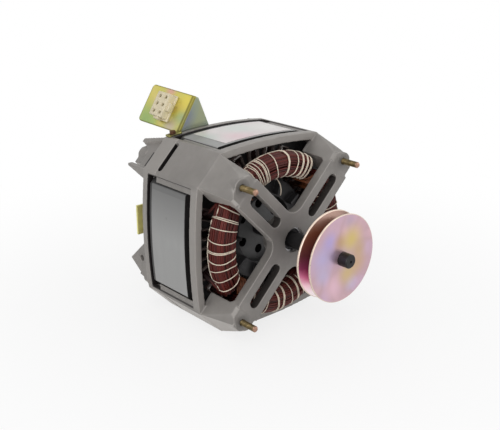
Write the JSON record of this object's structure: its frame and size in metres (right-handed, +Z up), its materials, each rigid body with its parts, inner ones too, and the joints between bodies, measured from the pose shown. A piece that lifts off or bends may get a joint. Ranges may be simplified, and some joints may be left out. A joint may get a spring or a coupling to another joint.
{
  "type": "open-frame induction motor",
  "caption": "Open-frame induction motor with a square bowed stator between two cast spider end shields, laced windings, front studs and a V-belt pulley.",
  "frame": {"origin": "on the shaft axis, in the plane of the four front boss faces", "axes": "-Y along the shaft towards the pulley, +Z up to the labelled side, +X to the right seen from the pulley"},
  "size_m": [0.1478, 0.195, 0.1765],
  "materials": {
    "cast_aluminium": "die cast, matt, slightly stained",
    "lamination_steel": "pressed sheet edges, lightly oiled",
    "liner_film": "dark varnished film",
    "enamel_wire": "red-brown varnished wire",
    "start_wire": "brown varnished wire",
    "lacing_twine": "off-white twine",
    "yellow_zinc": "yellow chromated zinc",
    "bronze": "porous bronze",
    "felt": "oiled felt",
    "bright_steel": "bright steel",
    "black_rubber": "matt black",
    "cream_nylon": "natural nylon",
    "brown_screw": "brown oxide",
    "lead_insulation": "white insulation",
    "label_foil": "blank pale label",
    "phenolic": "brown phenolic",
    "black_phenolic": "black phenolic",
    "dark_steel": "dark oxidised steel",
    "ring_aluminium": "cast, dull",
    "iridescent_zinc": "iridescent chromated zinc"
  },
  "bodies": {
    "stator": {"front_end_shield": "cast_aluminium", "rear_end_shield": "cast_aluminium", "stator_stack": "lamination_steel", "slot_liners": "liner_film", "main_winding_right": "enamel_wire", "main_winding_top": "enamel_wire", "main_winding_left": "enamel_wire", "main_winding_bottom": "enamel_wire", "start_winding_1": "start_wire", "start_winding_2": "start_wire", "start_winding_3": "start_wire", "start_winding_4": "start_wire", "lacing_cord_right": "lacing_twine", "lacing_cord_top": "lacing_twine", "lacing_cord_left": "lacing_twine", "lacing_cord_bottom": "lacing_twine", "through_bolts": "yellow_zinc", "front_bearing": "bronze", "rear_bearing": "bronze", "front_oil_felt": "felt", "rear_oil_felt": "felt", "front_retainer": "bright_steel", "rear_retainer": "bright_steel", "front_seal": "black_rubber", "front_snap_ring": "bright_steel", "connector_bracket": "yellow_zinc", "connector_housing": "cream_nylon", "connector_pins": "bronze", "bracket_screw": "brown_screw", "motor_leads": "lead_insulation", "blank_label": "label_foil", "switch_bracket": "yellow_zinc", "start_switch": "phenolic", "thermal_protector": "black_phenolic"},
    "rotor": {"shaft": "dark_steel", "rotor_core": "dark_steel", "front_end_ring": "ring_aluminium", "rear_end_ring": "ring_aluminium", "pulley_front_half": "iridescent_zinc", "pulley_rear_half": "iridescent_zinc", "pulley_hub": "bright_steel", "governor_base": "bright_steel"},
    "collar": {"governor_collar": "cream_nylon"},
    "weight_right": {"governor_weight_right": "bright_steel"},
    "weight_left": {"governor_weight_left": "bright_steel"},
    "lever": {"switch_lever": "bright_steel"}
  },
  "joints": [
    {"name": "rotor_spin", "type": "hinge", "parent": "stator", "child": "rotor", "pos_m": [0, 0, 0], "axis": [0, -1, 0], "continuous": true},
    {"name": "weight_right_swing", "type": "hinge", "parent": "rotor", "child": "weight_right", "pos_m": [0.017, 0.0958, 0], "axis": [0, 0, 1], "range_deg": [0, 20]},
    {"name": "weight_left_swing", "type": "hinge", "parent": "rotor", "child": "weight_left", "pos_m": [-0.017, 0.0958, 0], "axis": [0, 0, -1], "range_deg": [0, 20]},
    {"name": "collar_slide", "type": "slide", "parent": "rotor", "child": "collar", "axis": [0, -1, 0], "range_m": [0, 0.0026]},
    {"name": "lever_swing", "type": "hinge", "parent": "stator", "child": "lever", "pos_m": [-0.038, 0.1015, 0], "axis": [0, 0, -1], "range_deg": [0, 5.8]}
  ],
  "couplings": [
    {"joint": "weight_left_swing", "follows": "weight_right_swing", "ratio": 1},
    {"joint": "collar_slide", "follows": "weight_right_swing", "m_per_rad": 0.0073},
    {"joint": "lever_swing", "follows": "weight_right_swing", "ratio": 0.28}
  ]
}
